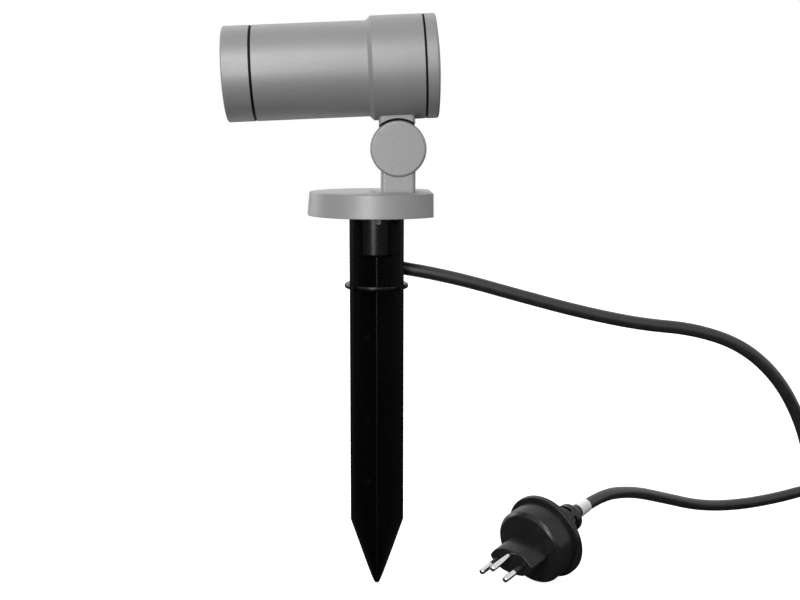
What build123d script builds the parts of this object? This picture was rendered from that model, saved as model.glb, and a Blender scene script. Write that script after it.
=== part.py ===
from build123d import *
import math
import os

# Landscape spotlight: a cylindrical lamp head on a half-lap knuckle, a round base with one flat side,
# a ground spike of crossed fins, and a rubber supply cord that ends in a splash-proof plug.
# Millimetres. The origin is the point of the spike, +Z is up, and the beam leaves towards -X.

# Clearances
seat_gap = 0.05
running_gap = 0.1
body_gap = 0.3

# Ground spike
fin_reach = 22.3
fin_thickness = 3.3
valley_radius = 1.0
tip_radius = 2.1
taper_height = 49.0
collar_radius = 20.3
collar_bottom = 197.7
collar_thickness = 3.2
collar_edge = 1.2
socket_radius = 14.2
socket_bottom = 218.8
socket_lip = 1.2
flange_radius = 16.5
flange_thickness = 1.4
spike_top = 242.6
window_floor = 203.8
window_width = 11.0
window_shift = 3.8
window_left = -5.0
window_right = 13.5

# Adapter between spike and base
adapter_collar = 1.8
spigot_radius = 10.3
spigot_length = 10.0
lock_screw_radius = 1.2
lock_head_radius = 1.6
lock_head_length = 2.0
lock_screw_length = 7.0
lock_screw_shift = 1.2
lock_screw_drop = 3.6

# Cord gland in the adapter
gland_radius = 7.2
gland_length = 6.0
gland_lip = 2.0
gland_shift = 1.6

# Base
base_radius = 43.4
base_flat_cut = 8.7
base_corner = 0.8
base_height = 14.5
base_draft = 5.1
base_edge = 0.4
base_foot_edge = 0.3
base_wall = 5.0
base_recess = 9.0
cover_thickness = 2.0
base_screw_x = -1.6
base_screw_y = 7.6
base_screw_radius = 1.5
base_screw_head = 2.8
base_screw_length = 20.0
post_radius = 3.6

# Knuckle
pivot_x = 13.55
pivot_rise = 26.8
knuckle_radius = 17.35
knuckle_seat_gap = 1.4
lap_gap = 0.6
arm_depth = 25.2
disc_proud = 1.4
base_arm_width = 21.3
head_arm_width = 22.3
arm_edge = 2.2
disc_edge = 1.6
bolt_radius = 3.0
bolt_head_radius = 5.0
bolt_head_length = 5.0
bolt_key = 2.9
bolt_grip = 8.5
bolt_recess = 6.6
washer_radius = 5.8
washer_thickness = 1.0
seal_inner = 10.2
seal_outer = 12.2
seal_depth = 1.6
arm_screw_radius = 2.5
arm_screw_head = 4.2
arm_screw_head_length = 3.0
arm_screw_length = 12.0
arm_screw_y = 6.5
wire_hole_radius = 3.0

# Lamp head, along its own axis: stations run towards the rear and count from the pivot
head_tilt = 2.56
arm_reach = 18.0
tube_radius = 29.3
tube_wall = 3.5
ring_wall = 1.6
ring_front = -104.4
ring_rear = -87.85
groove_width = 1.7
ring_lip = 2.0
ring_lip_width = 4.9
ring_edge = 1.0
glass_thickness = 3.5
glass_margin = 0.5
gasket_thickness = 1.1
gasket_step = 0.2
groove_depth = 0.3
shoulder_start = -16.5
rear_step = 2.7
rear_wall = 3.5
bulkhead_thickness = 4.0
bulkhead_rear = -9.0
rear_groove = 17.7
rear_groove_width = 1.4
rear_end = 26.0
rear_dome = 2.3
rear_edge = 1.1
cover_spigot_length = 3.6
cover_wall = 2.2
cover_skin = 3.0
head_screw_radius = 2.0
head_screw_head = 3.5
head_screw_head_length = 2.4
head_screw_length = 8.0
head_screw_stations = (-4.5, 7.5)
head_screw_y = 5.5

# Lamp, holder and wiring inside the head
lamp_gap = 0.8
lamp_bezel = 3.0
lamp_face = -92.5
lamp_rim = 4.0
lamp_length = 50.0
lamp_neck_radius = 12.0
lamp_neck_length = 15.0
lens_thickness = 2.4
lamp_pin_radius = 2.3
lamp_pin_pitch = 10.0
lamp_pin_length = 6.0
holder_radius = 9.8
holder_length = 20.0
bracket_thickness = 1.2
bracket_width = 10.0
bracket_half_span = 12.0
bracket_foot = 7.0
bracket_screw_radius = 1.5
bracket_screw_head = 2.7
bracket_screw_head_length = 2.0
bracket_screw_length = 3.4
terminal_length = 15.0
terminal_width = 26.0
terminal_height = 14.0
terminal_floor = 3.0
terminal_hole_radius = 2.0
terminal_hole_depth = 5.0
terminal_poles = 3
earth_screw_radius = 2.0
earth_screw_head = 3.5
earth_screw_head_length = 3.0
earth_screw_length = 3.6
earth_screw_drop = 10.0

# Supply cord
cord_radius = 4.25
coil_centre = (388.0, 92.0)
coil_radius = 52.5
coil_pitch = 9.2
coil_layer = 9.2
coil_floor = 5.3
tie_width = 8.0
tie_thickness = 0.9
tie_gap = 0.25
tie_corner = 4.4

# Plug
plug_place = (112.8, 6.1, 28.62)
plug_azimuth = 44.0
plug_dip = 12.6
plug_flange_radius = 29.0
plug_flange_thickness = 4.0
plug_drum_radius = 25.6
plug_drum_length = 16.5
plug_drum_edge = 2.0
plug_nose_width = 35.5
plug_nose_height = 16.0
plug_nose_flat = 23.0
plug_nose_length = 19.0
plug_nose_corner = 3.0
plug_nose_edge = 0.8
pin_radius = 2.0
pin_length = 19.0
pin_core_radius = 1.45
pin_sleeve_length = 9.0
pin_pitch = 19.0
earth_pin_offset = 5.0
pin_root = 5.0
boot_length = 29.0
boot_radius = 12.4
boot_end_radius = 9.4
boot_end_edge = 2.4
boot_slot_rows = 3
boot_slots_around = 4
boot_slot_width = 2.6
boot_slot_depth = 2.6
boot_slot_first = 11.0
boot_slot_step = 5.2
boot_bridge = 4.0
band_start = 7.0
band_length = 9.5
band_thickness = 0.7
lead_straight = 32.0


# Heights, radii and places worked out from the sizes above
tube_bore = tube_radius - tube_wall
spigot_thread_radius = tube_radius - ring_wall - running_gap
ring_mouth = tube_radius - ring_lip_width
gasket_bore = ring_mouth + gasket_step
rear_radius = tube_radius + rear_step
lamp_radius = tube_bore - lamp_gap
lens_radius = lamp_radius - lamp_bezel
head_rise = rear_radius + arm_reach
base_bottom = spike_top + adapter_collar
base_top = base_bottom + base_height
base_flat = base_radius - base_flat_cut
pivot_z = base_top + pivot_rise
tilt = math.radians(head_tilt)
pivot = Vector(pivot_x, 0, pivot_z)
head_rearward = Vector(math.cos(tilt), 0, math.sin(tilt))
head_up = Vector(-math.sin(tilt), 0, math.cos(tilt))
head_foot = pivot + head_up * head_rise
head_axis = Axis(head_foot, head_rearward)
pivot_axis = Axis(pivot, (0, 1, 0))
spike_axis = Axis.Z

# Working planes
stand_side = Plane(origin=pivot, x_dir=(1, 0, 0), z_dir=(0, -1, 0))
knuckle_side = Plane(origin=pivot, x_dir=head_rearward, z_dir=(0, -1, 0))
head_side = Plane(origin=head_foot, x_dir=head_rearward, z_dir=(0, -1, 0))
head_level = Plane(origin=head_foot, x_dir=head_rearward, z_dir=head_up)
half_depth = arm_depth / 2
disc_reach = half_depth + disc_proud
half_lap = lap_gap / 2
seat_radius = knuckle_radius + knuckle_seat_gap


def head_section(station):
    """Plane square to the head's axis at one station, its normal towards the rear."""
    return Plane(origin=head_foot + head_rearward * station, x_dir=(0, 1, 0), z_dir=head_rearward)


def screw(plane, head_r, head_length, shank_r, shank_length):
    """A plain screw: its shank runs along the plane's normal and its head stands behind the plane."""
    with BuildPart() as fastener:
        with BuildSketch(plane):
            Circle(head_r)
        extrude(amount=-head_length)
        with BuildSketch(plane):
            Circle(shank_r)
        extrude(amount=shank_length)
        with BuildSketch(plane.offset(-head_length)):
            RegularPolygon(head_r * 0.55, 6)
        extrude(amount=head_length * 0.55, mode=Mode.SUBTRACT)
    return fastener.part


slot_depth = lock_screw_radius + running_gap + lock_screw_drop - adapter_collar

# Ground spike: four crossed fins, a socket at the top and a stop collar, moulded in one piece
with BuildPart() as ground_spike:
    with BuildSketch() as fin_section:
        Rectangle(2 * fin_reach, fin_thickness, rotation=45)
        Rectangle(2 * fin_reach, fin_thickness, rotation=-45)
        fillet(fin_section.vertices().sort_by_distance((0, 0, 0))[:4], valley_radius)
    extrude(amount=spike_top)
    with BuildSketch(Plane.XZ) as collar_profile:
        with Locations((0, collar_bottom)):
            Rectangle(collar_radius, collar_thickness, align=(Align.MIN, Align.MIN))
        fillet(collar_profile.vertices().group_by(Axis.X)[-1], collar_edge)
    revolve(axis=spike_axis)
    with BuildSketch(Plane.XZ) as socket_profile:
        with Locations((0, socket_bottom)):
            Rectangle(socket_radius, spike_top - socket_bottom, align=(Align.MIN, Align.MIN))
        fillet(socket_profile.vertices().group_by(Axis.X)[-1].sort_by(Axis.Y)[0], socket_lip)
    revolve(axis=spike_axis)
    with BuildSketch(Plane.XY.offset(spike_top - flange_thickness)):
        Circle(flange_radius)
    extrude(amount=flange_thickness)
    with BuildSketch(Plane.XY.offset(socket_bottom)):
        Circle(spigot_radius + seat_gap)
    extrude(amount=spike_top - socket_bottom, mode=Mode.SUBTRACT)
    # The cord turns out of the socket through a window towards +X
    with BuildSketch(Plane.XY.offset(window_floor)):
        with Locations(((window_left + window_right) / 2, window_shift)):
            RectangleRounded(window_right - window_left, window_width, 2.0)
    extrude(amount=socket_bottom - window_floor, mode=Mode.SUBTRACT)
    # A notch in the flange clears the head of the lock screw, and a slot in the socket takes its shank
    with BuildSketch(Plane.XY.offset(spike_top - flange_thickness)):
        with Locations((lock_screw_shift, -flange_radius)):
            Rectangle(2 * lock_head_radius + 1, 2 * (flange_radius - socket_radius))
    extrude(amount=flange_thickness, mode=Mode.SUBTRACT)
    with BuildSketch(Plane.XY.offset(spike_top)):
        with Locations((lock_screw_shift, -socket_radius)):
            Rectangle(2 * (lock_screw_radius + running_gap), 2 * lock_screw_length)
    extrude(amount=-slot_depth, mode=Mode.SUBTRACT)
    # The point: everything outside a round-ended cone is cut away
    with BuildSketch(Plane.XZ):
        with BuildLine():
            cone_rise = Vector(fin_reach, taper_height - tip_radius).length
            reach = math.sqrt(cone_rise**2 - tip_radius**2)
            lean = math.atan2(fin_reach, taper_height - tip_radius) - math.asin(tip_radius / cone_rise)
            touch = (tip_radius * math.cos(lean), tip_radius - tip_radius * math.sin(lean))
            shoulder = (touch[0] + reach * math.sin(lean), touch[1] + reach * math.cos(lean))
            CenterArc((0, tip_radius), tip_radius, -90, 90 - math.degrees(lean))
            Polyline(touch, shoulder, (fin_reach + 1, shoulder[1] + 2), (fin_reach + 1, spike_top), (0, spike_top))
            Line((0, spike_top), (0, 0))
        make_face()
    revolve(axis=spike_axis, mode=Mode.INTERSECT)

# Adapter: the collar under the base, with the spigot that the spike's socket slides over
with BuildPart() as spike_adapter:
    with BuildSketch(Plane.XY.offset(spike_top)):
        Circle(socket_radius)
    extrude(amount=adapter_collar)
    with BuildSketch(Plane.XY.offset(spike_top)):
        Circle(spigot_radius)
    extrude(amount=-spigot_length)
    with BuildSketch(Plane.XY.offset(spike_top - spigot_length)):
        with Locations((0, gland_shift)):
            Circle(gland_radius + seat_gap)
    extrude(amount=gland_length, mode=Mode.SUBTRACT)
    with BuildSketch(Plane.XY.offset(spike_top - spigot_length)):
        with Locations((0, gland_shift)):
            Circle(wire_hole_radius)
    extrude(amount=spigot_length + adapter_collar, mode=Mode.SUBTRACT)
    with BuildSketch(Plane.XY.offset(base_bottom)):
        with Locations((base_screw_x, base_screw_y), (base_screw_x, -base_screw_y)):
            Circle(base_screw_radius + seat_gap)
    extrude(amount=base_height - base_screw_length - body_gap, mode=Mode.SUBTRACT)
    with BuildSketch(Plane((lock_screw_shift, -socket_radius, base_bottom - lock_screw_drop), z_dir=(0, 1, 0))):
        Circle(lock_screw_radius + seat_gap)
    extrude(amount=lock_screw_length + seat_gap, mode=Mode.SUBTRACT)

# Gland: a rubber bush that grips the cord where it leaves the adapter
gland_bottom = spike_top - spigot_length - gland_lip
with BuildPart() as cord_gland:
    with BuildSketch(Plane.XY.offset(gland_bottom)):
        with Locations((0, gland_shift)):
            Circle(gland_radius)
    extrude(amount=gland_length + gland_lip)
    fillet(cord_gland.edges().group_by(Axis.Z)[0], gland_lip * 0.6)

lock_screw_plane = Plane((lock_screw_shift, -socket_radius, base_bottom - lock_screw_drop), z_dir=(0, 1, 0))
spike_lock_screw = screw(lock_screw_plane, lock_head_radius, lock_head_length, lock_screw_radius, lock_screw_length)

# Base: a drafted cast disc with one upright flat side, hollow underneath
with BuildPart() as base_plate:
    with BuildSketch(Plane.XY.offset(base_bottom)):
        Circle(base_radius)
    extrude(amount=base_height, taper=base_draft)
    with BuildSketch(Plane.XY.offset(base_bottom)):
        with Locations((base_flat, 0)):
            Rectangle(2 * base_radius, 2 * base_radius, align=(Align.MIN, Align.CENTER))
    extrude(amount=base_height, mode=Mode.SUBTRACT)
    fillet(base_plate.edges().filter_by(lambda edge: abs(edge.tangent_at(0.5).Z) > 0.8), base_corner)
    fillet(base_plate.edges().group_by(Axis.Z)[-1], base_edge)
    fillet(base_plate.edges().group_by(Axis.Z)[0], base_foot_edge)
    with BuildSketch(Plane.XY.offset(base_bottom)):
        Circle(base_radius - base_wall)
        with Locations((base_flat - base_wall, 0)):
            Rectangle(2 * base_radius, 2 * base_radius, align=(Align.MIN, Align.CENTER), mode=Mode.SUBTRACT)
    extrude(amount=base_recess, mode=Mode.SUBTRACT)
    with BuildSketch(Plane.XY.offset(base_bottom + cover_thickness)):
        with Locations((base_screw_x, base_screw_y), (base_screw_x, -base_screw_y)):
            Circle(post_radius)
    extrude(amount=base_recess - cover_thickness)
    with Locations(*[(base_screw_x, side * base_screw_y, base_top) for side in (-1, 1)]):
        CounterSinkHole(base_screw_radius + seat_gap, base_screw_head + running_gap)
    with Locations(*[(pivot_x, side * arm_screw_y, base_top) for side in (-1, 1)]):
        Hole(arm_screw_radius + seat_gap)
    with Locations((pivot_x, 0, base_top)):
        Hole(wire_hole_radius)

# Plate that closes the underside of the base
with BuildPart() as base_cover:
    with BuildSketch(Plane.XY.offset(base_bottom)):
        Circle(base_radius - base_wall - running_gap)
        with Locations((base_flat - base_wall - running_gap, 0)):
            Rectangle(2 * base_radius, 2 * base_radius, align=(Align.MIN, Align.CENTER), mode=Mode.SUBTRACT)
        with Locations((0, gland_shift)):
            Circle(wire_hole_radius, mode=Mode.SUBTRACT)
        with Locations((base_screw_x, base_screw_y), (base_screw_x, -base_screw_y)):
            Circle(base_screw_radius + seat_gap, mode=Mode.SUBTRACT)
    extrude(amount=cover_thickness)

# Countersunk screws that hold the base on the adapter
with BuildPart() as base_screws:
    for side in (-1, 1):
        screw_top = (base_screw_x, side * base_screw_y)
        head_depth = base_screw_head - base_screw_radius
        with BuildSketch(Plane.XY.offset(base_top - seat_gap)):
            with Locations(screw_top):
                Circle(base_screw_head)
        with BuildSketch(Plane.XY.offset(base_top - seat_gap - head_depth)):
            with Locations(screw_top):
                Circle(base_screw_radius)
        loft()
        with BuildSketch(Plane.XY.offset(base_top - seat_gap - head_depth)):
            with Locations(screw_top):
                Circle(base_screw_radius)
        extrude(amount=head_depth - base_screw_length)
        with BuildSketch(Plane.XY.offset(base_top - seat_gap)):
            with Locations(screw_top):
                RegularPolygon(base_screw_radius, 6)
        extrude(amount=-head_depth, mode=Mode.SUBTRACT)

# Lower half of the knuckle: a bar on the base with the front disc
with BuildPart() as base_arm:
    with BuildSketch(stand_side.offset(-half_depth)):
        with Locations((0, -pivot_rise / 2)):
            Rectangle(base_arm_width, pivot_rise)
    extrude(amount=arm_depth)
    fillet(base_arm.edges().filter_by(Axis.Z), arm_edge)
    with BuildSketch(stand_side.offset(-half_depth)):
        Circle(seat_radius)
    extrude(amount=half_depth + half_lap, mode=Mode.SUBTRACT)
    with BuildSketch(stand_side.offset(half_lap)):
        Circle(knuckle_radius)
    extrude(amount=disc_reach - half_lap)
    fillet(base_arm.edges().filter_by(GeomType.CIRCLE).group_by(Axis.Y)[0], disc_edge)
    with BuildSketch(stand_side.offset(half_lap)):
        Circle(seal_outer + running_gap)
        Circle(seal_inner - running_gap, mode=Mode.SUBTRACT)
    extrude(amount=seal_depth, mode=Mode.SUBTRACT)
    with BuildSketch(stand_side.offset(half_lap)):
        Circle(bolt_radius + seat_gap)
    extrude(amount=bolt_grip, mode=Mode.SUBTRACT)
    with BuildSketch(Plane.XY.offset(base_top)):
        with Locations((pivot_x, arm_screw_y), (pivot_x, -arm_screw_y)):
            Circle(arm_screw_radius + seat_gap)
    extrude(amount=arm_screw_length - (base_height - base_recess) + running_gap, mode=Mode.SUBTRACT)

# Screws that hold the bar, driven from inside the base
arm_screw_seat = base_bottom + base_recess
arm_screws = Compound(
    children=[
        screw(
            Plane((pivot_x, side * arm_screw_y, arm_screw_seat), z_dir=(0, 0, 1)),
            arm_screw_head,
            arm_screw_head_length,
            arm_screw_radius,
            arm_screw_length,
        )
        for side in (-1, 1)
    ]
)

# Upper half of the knuckle: a bar under the head with the rear disc
with BuildPart() as head_arm:
    with BuildSketch(knuckle_side.offset(-half_depth)):
        with Locations((0, head_rise / 2)):
            Rectangle(head_arm_width, head_rise)
    extrude(amount=arm_depth)
    fillet(head_arm.edges().filter_by(lambda edge: abs(edge.tangent_at(0).dot(head_up)) > 0.99), arm_edge)
    with BuildSketch(knuckle_side.offset(half_depth)):
        Circle(seat_radius)
    extrude(amount=-half_depth - half_lap, mode=Mode.SUBTRACT)
    with BuildSketch(knuckle_side.offset(-half_lap)):
        Circle(knuckle_radius)
    extrude(amount=half_lap - disc_reach)
    fillet(head_arm.edges().filter_by(GeomType.CIRCLE).group_by(Axis.Y)[-1], disc_edge)
    with BuildSketch(head_section(-head_rise)):
        Circle(rear_radius)
    extrude(amount=2 * head_rise, mode=Mode.SUBTRACT)
    with BuildSketch(knuckle_side.offset(-half_lap)):
        Circle(bolt_radius + running_gap)
    extrude(amount=-disc_reach, mode=Mode.SUBTRACT)
    with BuildSketch(knuckle_side.offset(-disc_reach)):
        Circle(washer_radius + body_gap)
    extrude(amount=bolt_recess, mode=Mode.SUBTRACT)
    for station in head_screw_stations:
        hole_foot = head_foot + head_rearward * station + Vector(0, head_screw_y, 0)
        with BuildSketch(Plane(hole_foot - head_up * rear_radius, z_dir=-head_up)):
            Circle(head_screw_radius + seat_gap)
        extrude(amount=head_screw_length - rear_wall + running_gap, both=True, mode=Mode.SUBTRACT)

# Clamp bolt, its washer and the seal between the two discs
washer_seat = disc_reach - bolt_recess + body_gap
bolt_seat = washer_seat + washer_thickness
with BuildPart() as hinge_bolt:
    with BuildSketch(stand_side.offset(-bolt_seat)):
        Circle(bolt_head_radius)
    extrude(amount=-bolt_head_length)
    with BuildSketch(stand_side.offset(-bolt_seat)):
        Circle(bolt_radius)
    extrude(amount=bolt_seat + half_lap + bolt_grip - running_gap)
    with BuildSketch(stand_side.offset(-bolt_seat - bolt_head_length)):
        RegularPolygon(bolt_key, 6)
    extrude(amount=bolt_head_length * 0.6, mode=Mode.SUBTRACT)

with BuildPart() as hinge_washer:
    with BuildSketch(stand_side.offset(-bolt_seat)):
        Circle(washer_radius)
        Circle(bolt_radius + seat_gap, mode=Mode.SUBTRACT)
    extrude(amount=washer_thickness)

with BuildPart() as hinge_seal:
    with BuildSketch(stand_side.offset(0)):
        Circle(seal_outer)
        Circle(seal_inner, mode=Mode.SUBTRACT)
    extrude(amount=seal_depth + half_lap)

# Head casing: the lamp tube, its stepped rear chamber and the bulkhead between them
groove_rear = ring_rear + groove_width
spigot_front = ring_front + ring_lip + body_gap + glass_thickness + gasket_thickness + body_gap
shoulder_end = shoulder_start + rear_radius - tube_radius
rear_bore = rear_radius - rear_wall
bulkhead_front = bulkhead_rear - bulkhead_thickness
with BuildPart() as head_casing:
    with BuildSketch(head_side):
        with BuildLine():
            Polyline(
                (spigot_front, tube_bore),
                (spigot_front, spigot_thread_radius),
                (groove_rear, spigot_thread_radius),
                (groove_rear, tube_radius),
                (shoulder_start, tube_radius),
                (shoulder_end, rear_radius),
                (rear_groove, rear_radius),
                (rear_groove, rear_bore),
                (bulkhead_rear, rear_bore),
                (bulkhead_rear, wire_hole_radius),
                (bulkhead_front, wire_hole_radius),
                (bulkhead_front, tube_bore),
                close=True,
            )
        make_face()
    revolve(axis=head_axis)
    for station in head_screw_stations:
        hole_foot = head_foot + head_rearward * station + Vector(0, head_screw_y, 0)
        with BuildSketch(Plane(hole_foot, z_dir=-head_up)):
            Circle(head_screw_radius + seat_gap)
        extrude(amount=rear_radius, mode=Mode.SUBTRACT)
    for side in (-1, 1):
        with BuildSketch(head_section(bulkhead_front)):
            with Locations((side * (bracket_half_span + bracket_foot / 2), 0)):
                Circle(bracket_screw_radius + seat_gap)
        extrude(amount=bulkhead_thickness, mode=Mode.SUBTRACT)
    with BuildSketch(Plane(head_foot + head_rearward * bulkhead_rear - head_up * earth_screw_drop, z_dir=head_rearward)):
        Circle(earth_screw_radius + seat_gap)
    extrude(amount=-bulkhead_thickness, mode=Mode.SUBTRACT)

# Screws from the rear chamber into the head's bar
head_screw_seat = math.sqrt(rear_bore**2 - (head_screw_y + head_screw_head) ** 2) - seat_gap
head_arm_screws = Compound(
    children=[
        screw(
            Plane(
                head_foot + head_rearward * station + Vector(0, head_screw_y, 0) - head_up * head_screw_seat,
                z_dir=-head_up,
            ),
            head_screw_head,
            head_screw_head_length,
            head_screw_radius,
            head_screw_length,
        )
        for station in head_screw_stations
    ]
)

# Screw-on front ring with its glass, gasket and weather seal
with BuildPart() as front_ring:
    with BuildSketch(head_side):
        with BuildLine():
            Polyline(
                (ring_front, ring_mouth),
                (ring_front, tube_radius),
                (ring_rear, tube_radius),
                (ring_rear, spigot_thread_radius + running_gap),
                (ring_front + ring_lip, spigot_thread_radius + running_gap),
                (ring_front + ring_lip, ring_mouth),
                close=True,
            )
        make_face()
    revolve(axis=head_axis)
    fillet(front_ring.edges().group_by(head_axis)[0], ring_edge)

glass_front = ring_front + ring_lip + body_gap
glass_rear = glass_front + glass_thickness
glass_radius = spigot_thread_radius - glass_margin
with BuildPart() as front_glass:
    with BuildSketch(head_section(glass_front)):
        Circle(glass_radius)
    extrude(amount=glass_thickness)

with BuildPart() as glass_gasket:
    with BuildSketch(head_section(glass_rear)):
        Circle(glass_radius)
        Circle(gasket_bore, mode=Mode.SUBTRACT)
    extrude(amount=gasket_thickness)

with BuildPart() as front_seal:
    with BuildSketch(head_section(ring_rear + body_gap)):
        Circle(tube_radius - groove_depth)
        Circle(spigot_thread_radius + seat_gap, mode=Mode.SUBTRACT)
    extrude(amount=groove_width - body_gap)

# Rear cover and its seal
cover_front = rear_groove + rear_groove_width
dome_radius = (rear_radius**2 + rear_dome**2) / (2 * rear_dome)
dome_half_angle = math.degrees(math.asin(rear_radius / dome_radius))
with BuildPart() as rear_cover:
    with BuildSketch(head_side) as cover_profile:
        with BuildLine():
            CenterArc((rear_end + rear_dome - dome_radius, 0), dome_radius, 0, dome_half_angle)
            Polyline(
                (rear_end, rear_radius),
                (cover_front, rear_radius),
                (cover_front, rear_bore - seat_gap),
                (cover_front - cover_spigot_length - rear_groove_width, rear_bore - seat_gap),
                (cover_front - cover_spigot_length - rear_groove_width, rear_bore - cover_wall),
                (rear_end - cover_skin, rear_bore - cover_wall),
                (rear_end - cover_skin, 0),
                (rear_end + rear_dome, 0),
            )
        make_face()
        fillet(cover_profile.vertices().group_by(Axis.Y)[-1].sort_by(Axis.X)[-1], rear_edge)
    revolve(axis=head_axis)

with BuildPart() as rear_seal:
    with BuildSketch(head_section(rear_groove)):
        Circle(rear_radius - groove_depth)
        Circle(rear_bore + seat_gap, mode=Mode.SUBTRACT)
    extrude(amount=rear_groove_width)

# Reflector lamp: body, front lens and twist-lock pins
lamp_rear = lamp_face + lamp_length
with BuildPart() as lamp_body:
    with BuildSketch(head_side):
        with BuildLine():
            Polyline(
                (lamp_face, lens_radius + seat_gap),
                (lamp_face, lamp_radius),
                (lamp_face + lamp_rim, lamp_radius),
            )
            Spline(
                (lamp_face + lamp_rim, lamp_radius),
                (lamp_rear - lamp_neck_length, lamp_neck_radius),
                tangents=((0.6, -0.8), (1, 0)),
            )
            Polyline(
                (lamp_rear - lamp_neck_length, lamp_neck_radius),
                (lamp_rear, lamp_neck_radius),
                (lamp_rear, 0),
                (lamp_face + lens_thickness, 0),
                (lamp_face + lens_thickness, lens_radius + seat_gap),
                (lamp_face, lens_radius + seat_gap),
            )
        make_face()
    revolve(axis=head_axis)

with BuildPart() as lamp_lens:
    with BuildSketch(head_section(lamp_face)):
        Circle(lens_radius)
    extrude(amount=lens_thickness)

with BuildPart() as lamp_pins:
    with BuildSketch(head_section(lamp_rear)):
        with Locations((lamp_pin_pitch / 2, 0), (-lamp_pin_pitch / 2, 0)):
            Circle(lamp_pin_radius)
    extrude(amount=lamp_pin_length)

# Ceramic holder, and the steel bracket that carries it on the bulkhead
holder_rear = lamp_rear + seat_gap + holder_length
with BuildPart() as lamp_holder:
    with BuildSketch(head_section(lamp_rear + seat_gap)):
        Circle(holder_radius)
    extrude(amount=holder_length)
    with BuildSketch(head_section(lamp_rear + seat_gap)):
        with Locations((lamp_pin_pitch / 2, 0), (-lamp_pin_pitch / 2, 0)):
            Circle(lamp_pin_radius + running_gap)
    extrude(amount=lamp_pin_length + running_gap, mode=Mode.SUBTRACT)

with BuildPart() as holder_bracket:
    with BuildSketch(head_level):
        with Locations((holder_rear, 0)):
            Rectangle(bracket_thickness, 2 * bracket_half_span, align=(Align.MIN, Align.CENTER))
        for side in (-1, 1):
            leg_length = bulkhead_front - holder_rear
            with Locations((holder_rear, side * (bracket_half_span - bracket_thickness / 2))):
                Rectangle(leg_length, bracket_thickness, align=(Align.MIN, Align.CENTER))
            with Locations((bulkhead_front, side * (bracket_half_span + bracket_foot / 2 - bracket_thickness / 2))):
                Rectangle(bracket_thickness, bracket_foot + bracket_thickness, align=(Align.MAX, Align.CENTER))
    extrude(amount=bracket_width / 2, both=True)
    for side in (-1, 1):
        with BuildSketch(head_section(bulkhead_front)):
            with Locations((side * (bracket_half_span + bracket_foot / 2), 0)):
                Circle(bracket_screw_radius + seat_gap)
        extrude(amount=-bracket_thickness, mode=Mode.SUBTRACT)

bracket_screws = Compound(
    children=[
        screw(
            Plane(
                head_foot
                + head_rearward * (bulkhead_front - bracket_thickness)
                + Vector(0, side * (bracket_half_span + bracket_foot / 2), 0),
                z_dir=head_rearward,
            ),
            bracket_screw_head,
            bracket_screw_head_length,
            bracket_screw_radius,
            bracket_screw_length,
        )
        for side in (-1, 1)
    ]
)

# Terminal block and earth screw in the rear chamber
with BuildPart() as terminal_block:
    with BuildSketch(head_level.offset(terminal_floor)):
        with Locations((bulkhead_rear, 0)):
            Rectangle(terminal_length, terminal_width, align=(Align.MIN, Align.CENTER))
    extrude(amount=terminal_height)
    with BuildSketch(head_level.offset(terminal_floor + terminal_height)):
        with Locations((bulkhead_rear + terminal_length / 2, 0)):
            with GridLocations(1, terminal_width / terminal_poles, 1, terminal_poles):
                Circle(terminal_hole_radius)
    extrude(amount=-terminal_hole_depth, mode=Mode.SUBTRACT)

earth_screw = screw(
    Plane(head_foot + head_rearward * bulkhead_rear - head_up * earth_screw_drop, z_dir=-head_rearward),
    earth_screw_head,
    earth_screw_head_length,
    earth_screw_radius,
    earth_screw_length,
)

# Cord coil: one turn in on the floor, a climb in the half turn where it reverses, one turn out above
lean_in = math.atan(coil_pitch / (2 * math.pi * coil_radius))
coil_start_angle = -math.pi / 2 - lean_in
coil_turns = 2.5 + lean_in / math.pi
climb_start = coil_turns / 2 - 0.25
climb_end = coil_turns / 2 + 0.25


def coil_point(turns):
    """A point of the coil's centreline, counted in turns from its start."""
    if turns <= climb_start:
        inward = turns
        climb = 0.0
    elif turns >= climb_end:
        inward = coil_turns - turns
        climb = 1.0
    else:
        into = turns - climb_start
        inward = climb_start + into - 2 * into**2
        share = into / (climb_end - climb_start)
        climb = share**2 * (3 - 2 * share)
    radius = coil_radius - coil_pitch * inward
    angle = coil_start_angle + 2 * math.pi * turns
    return Vector(
        coil_centre[0] + radius * math.cos(angle),
        coil_centre[1] + radius * math.sin(angle),
        coil_floor + coil_layer * climb,
    )


def coil_tangent(turns):
    step = 1e-4
    return (coil_point(turns + step) - coil_point(turns - step)).normalized()


def biarc(start, start_tangent, end, end_tangent):
    """The middle point and middle tangent of two arcs that join two points along given tangents."""
    chord = end - start
    both = start_tangent + end_tangent
    spread = 2 * (1 - start_tangent.dot(end_tangent))
    along = chord.dot(both)
    handle = (math.sqrt(along**2 + spread * chord.dot(chord)) - along) / spread
    first = start + start_tangent * handle
    second = end - end_tangent * handle
    return (first + second) * 0.5, (second - first).normalized()


coil_quarters = 10
coil_stations = [coil_turns * index / coil_quarters for index in range(coil_quarters + 1)]
coil_tail = 2 * cord_radius
coil_entry = coil_point(0) - coil_tangent(0) * coil_tail
coil_exit = coil_point(coil_turns) + coil_tangent(coil_turns) * coil_tail
with BuildPart() as cord_coil:
    with BuildLine() as coil_line:
        Line(coil_entry, coil_point(0))
        for begin, finish in zip(coil_stations, coil_stations[1:]):
            middle, middle_tangent = biarc(
                coil_point(begin), coil_tangent(begin), coil_point(finish), coil_tangent(finish)
            )
            TangentArc(coil_point(begin), middle, tangent=coil_tangent(begin))
            TangentArc(middle, coil_point(finish), tangent=middle_tangent)
        Line(coil_point(coil_turns), coil_exit)
    coil_wire = coil_line.wires()[0]
    with BuildSketch(coil_wire ^ 0):
        Circle(cord_radius)
    sweep(path=coil_wire)


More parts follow.
